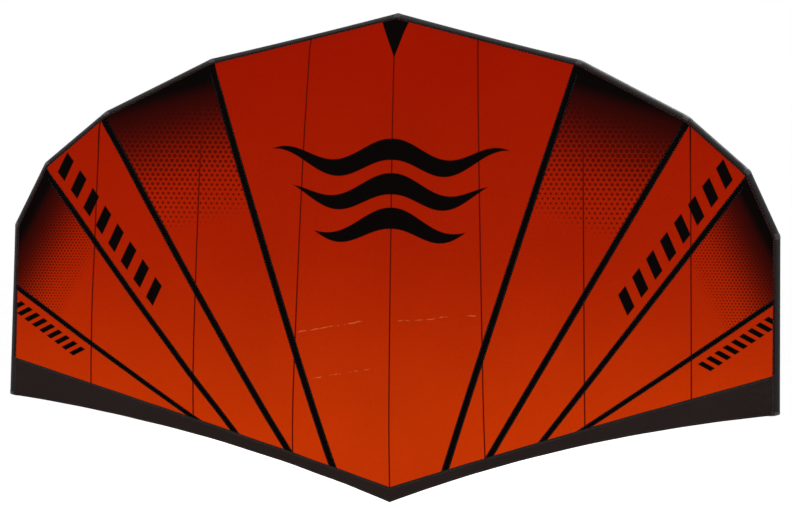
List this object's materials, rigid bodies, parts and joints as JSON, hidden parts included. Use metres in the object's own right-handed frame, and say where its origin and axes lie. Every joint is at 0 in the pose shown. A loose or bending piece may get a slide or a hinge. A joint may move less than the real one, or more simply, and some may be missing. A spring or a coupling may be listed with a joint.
{
  "type": "inflatable hand wing",
  "caption": "Hand-held inflatable wing with a bent leading-edge tube, one centre strut, a panelled cloth canopy, soft handles and an inflation valve.",
  "frame": {"origin": "centre of the leading-edge tube on the wing's centre plane, where the wing is cradled to hang it nose up", "axes": "+Z towards the nose, +X along the span, -Y out of the canopy's outer side, +Y towards the rider"},
  "size_m": [3.2322, 0.4045, 2.0916],
  "materials": {
    "canopy_cloth": "woven ripstop, orange",
    "dark_cloth": "woven, black",
    "tube_cloth": "woven polyester, black",
    "bladder_film": "translucent film",
    "webbing": "ribbed webbing, black",
    "patch_cloth": "coated cloth, dark grey",
    "foam_grip": "moulded foam, matte",
    "steel": "satin",
    "hose": "semi-matte",
    "silicone": "soft",
    "zip": "zip tape with moulded teeth",
    "moulded_plastic": "satin"
  },
  "bodies": {
    "wing": {"canopy_panel_left_1": "canopy_cloth", "canopy_panel_left_2": "canopy_cloth", "canopy_panel_left_3": "canopy_cloth", "canopy_panel_left_4": "canopy_cloth", "canopy_panel_left_5": "canopy_cloth", "canopy_panel_right_1": "canopy_cloth", "canopy_panel_right_2": "canopy_cloth", "canopy_panel_right_3": "canopy_cloth", "canopy_panel_right_4": "canopy_cloth", "canopy_panel_right_5": "canopy_cloth", "deflation_valve_base": "moulded_plastic", "hose_clip_body": "moulded_plastic", "hose_fittings": "moulded_plastic", "inflation_valve_base": "moulded_plastic", "inflation_valve_patch": "patch_cloth", "leading_edge_bladder": "bladder_film", "leading_edge_casing_left_1": "tube_cloth", "leading_edge_casing_left_2": "tube_cloth", "leading_edge_casing_left_3": "tube_cloth", "leading_edge_casing_left_4": "tube_cloth", "leading_edge_casing_left_5": "tube_cloth", "leading_edge_casing_right_1": "tube_cloth", "leading_edge_casing_right_2": "tube_cloth", "leading_edge_casing_right_3": "tube_cloth", "leading_edge_casing_right_4": "tube_cloth", "leading_edge_casing_right_5": "tube_cloth", "leading_edge_handle_anchors": "patch_cloth", "leash_ring_sleeve": "patch_cloth", "nose_patch": "dark_cloth", "one_pump_hose": "hose", "radial_band_left_1": "dark_cloth", "radial_band_left_2": "dark_cloth", "radial_band_left_3": "dark_cloth", "radial_band_left_4": "dark_cloth", "radial_band_right_1": "dark_cloth", "radial_band_right_2": "dark_cloth", "radial_band_right_3": "dark_cloth", "radial_band_right_4": "dark_cloth", "strut_bladder": "bladder_film", "strut_casing": "tube_cloth", "strut_end_patch": "tube_cloth", "strut_handle_anchors": "patch_cloth", "strut_zip_tape": "zip", "tip_end_patches": "tube_cloth", "trailing_edge_hem_left": "dark_cloth", "trailing_edge_hem_right": "dark_cloth", "valve_cap_pin": "steel"},
    "leading_edge_handle": {"leading_edge_handle_webbing": "webbing", "leading_edge_handle_grip": "foam_grip"},
    "front_handle": {"front_handle_webbing": "webbing", "front_handle_grip": "foam_grip"},
    "rear_handle": {"rear_handle_webbing": "webbing", "rear_handle_grip": "foam_grip"},
    "leash_ring": {"leash_ring": "steel"},
    "valve_insert": {"inflation_valve_insert": "moulded_plastic"},
    "check_flap": {"check_flap": "silicone"},
    "valve_cap": {"inflation_valve_cap": "moulded_plastic"},
    "deflation_cap": {"deflation_valve_cap": "moulded_plastic"},
    "clip_lever": {"hose_clip_lever": "moulded_plastic"},
    "zip_slider": {"strut_zip_slider": "moulded_plastic"}
  },
  "joints": [
    {"name": "leading_edge_handle_flop", "type": "hinge", "parent": "wing", "child": "leading_edge_handle", "pos_m": [0, 0.108, -0.012], "axis": [1, 0, 0], "range_deg": [0, 150]},
    {"name": "front_handle_flop", "type": "hinge", "parent": "wing", "child": "front_handle", "pos_m": [0, 0.00764, -0.44038], "axis": [0, 0.0472, 0.9989], "range_deg": [-65, 65]},
    {"name": "rear_handle_flop", "type": "hinge", "parent": "wing", "child": "rear_handle", "pos_m": [0, -0.00417, -1.01005], "axis": [0, 0.0064, 1], "range_deg": [-65, 65]},
    {"name": "leash_ring_swing", "type": "hinge", "parent": "wing", "child": "leash_ring", "pos_m": [0, 0.01811, -0.17628], "axis": [1, 0, 0], "range_deg": [0, 150]},
    {"name": "valve_insert_twist", "type": "hinge", "parent": "wing", "child": "valve_insert", "pos_m": [0.27251, 0.05862, -0.06857], "axis": [0.1305, 0.9909, -0.0328], "range_deg": [0, 75]},
    {"name": "check_flap_lift", "type": "slide", "parent": "valve_insert", "child": "check_flap", "axis": [-0.1305, -0.9909, 0.0328], "range_m": [0, 0.004], "stiffness_N_per_m": 40, "springref_m": -0.0005},
    {"name": "valve_cap_hinge", "type": "hinge", "parent": "wing", "child": "valve_cap", "pos_m": [0.28052, 0.06753, -0.04172], "axis": [0.961, -0.1345, -0.2418], "range_deg": [0, 140]},
    {"name": "deflation_cap_twist", "type": "hinge", "parent": "wing", "child": "deflation_cap", "pos_m": [0.06, -0.07057, -0.76], "axis": [1, 0, 0], "range_deg": [0, 90]},
    {"name": "clip_lever_hinge", "type": "hinge", "parent": "wing", "child": "clip_lever", "pos_m": [-0.12136, 0.02321, -0.17936], "axis": [0, 0.6026, -0.798], "range_deg": [0, 60]},
    {"name": "zip_slide", "type": "slide", "parent": "wing", "child": "zip_slider", "axis": [0, -0.0754, 0.9972], "range_m": [0, 0.3]}
  ]
}
